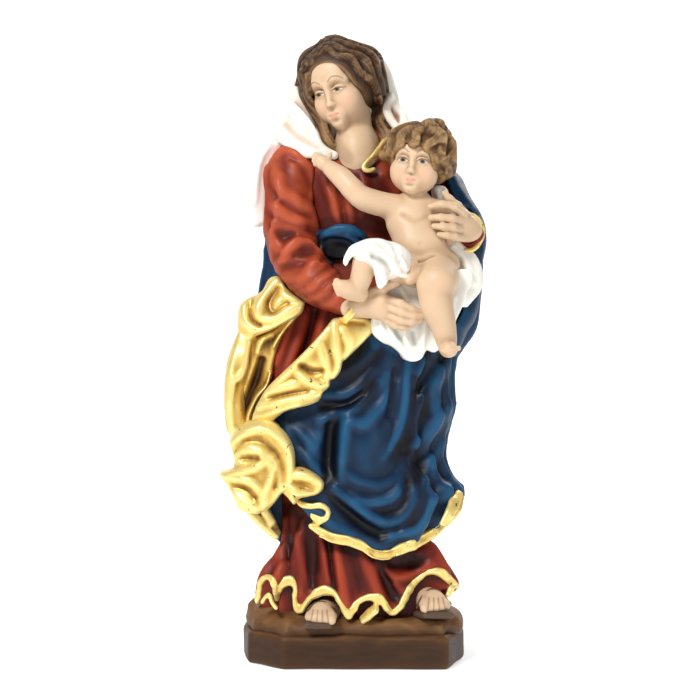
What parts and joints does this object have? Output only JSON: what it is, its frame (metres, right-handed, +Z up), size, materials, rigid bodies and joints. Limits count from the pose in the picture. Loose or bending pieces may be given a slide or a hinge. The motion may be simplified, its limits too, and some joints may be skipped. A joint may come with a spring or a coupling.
{
  "type": "madonna statue",
  "caption": "Painted devotional statuette of a standing robed mother holding a child on an octagonal plinth.",
  "frame": {"origin": "middle of the plinth's flat underside", "axes": "+Z up the figure, -Y towards the viewer, +X to the viewer's right"},
  "size_m": [0.1296, 0.0922, 0.3003],
  "materials": {
    "painted_earth": "matt brown paint with ochre dry-brushing",
    "painted_leather": "satin dark brown paint",
    "painted_skin": "satin flesh paint with a soft blush",
    "painted_brown_hair": "satin brown paint, darker between the locks",
    "painted_child_hair": "satin light brown paint, darker between the curls",
    "painted_gilding": "brushed gold paint over dark brown, bright on the ridges",
    "painted_linen": "satin off-white paint, grey in the folds",
    "painted_red_cloth": "satin brick red paint, airbrushed darker in the folds",
    "painted_blue_sash": "satin blue paint",
    "painted_veil": "satin cream paint with a warm edge",
    "painted_blue_cloth": "satin deep blue paint, airbrushed navy in the folds and lighter on the ridges"
  },
  "bodies": {
    "root": {"plinth": "painted_earth", "ground": "painted_earth", "right_sandal": "painted_leather", "left_sandal": "painted_leather", "right_foot": "painted_skin", "left_foot": "painted_skin", "right_hand": "painted_skin", "left_hand": "painted_skin", "head": "painted_skin", "child_head": "painted_skin", "child_torso": "painted_skin", "child_right_arm": "painted_skin", "child_left_arm": "painted_skin", "child_left_leg": "painted_skin", "child_right_leg": "painted_skin", "hair": "painted_brown_hair", "child_hair": "painted_child_hair", "right_cuff": "painted_gilding", "left_cuff": "painted_gilding", "neckline_trim": "painted_gilding", "gown_hem": "painted_gilding", "lining_front_fold": "painted_gilding", "lining_cascade": "painted_gilding", "lining_hip_fold": "painted_gilding", "lining_side_fall": "painted_gilding", "lining_back_fall": "painted_gilding", "lining_ruffle": "painted_gilding", "mantle_apron_hem": "painted_gilding", "mantle_back_hem": "painted_gilding", "swaddling_wrap": "painted_linen", "swaddling_fall": "painted_linen", "gown_skirt": "painted_red_cloth", "gown_bodice": "painted_red_cloth", "right_sleeve": "painted_red_cloth", "left_sleeve": "painted_red_cloth", "sash": "painted_blue_sash", "veil": "painted_veil", "veil_shoulder_fall": "painted_veil", "mantle_shoulder": "painted_blue_cloth", "mantle_apron": "painted_blue_cloth", "mantle_back": "painted_blue_cloth"}
  },
  "joints": []
}
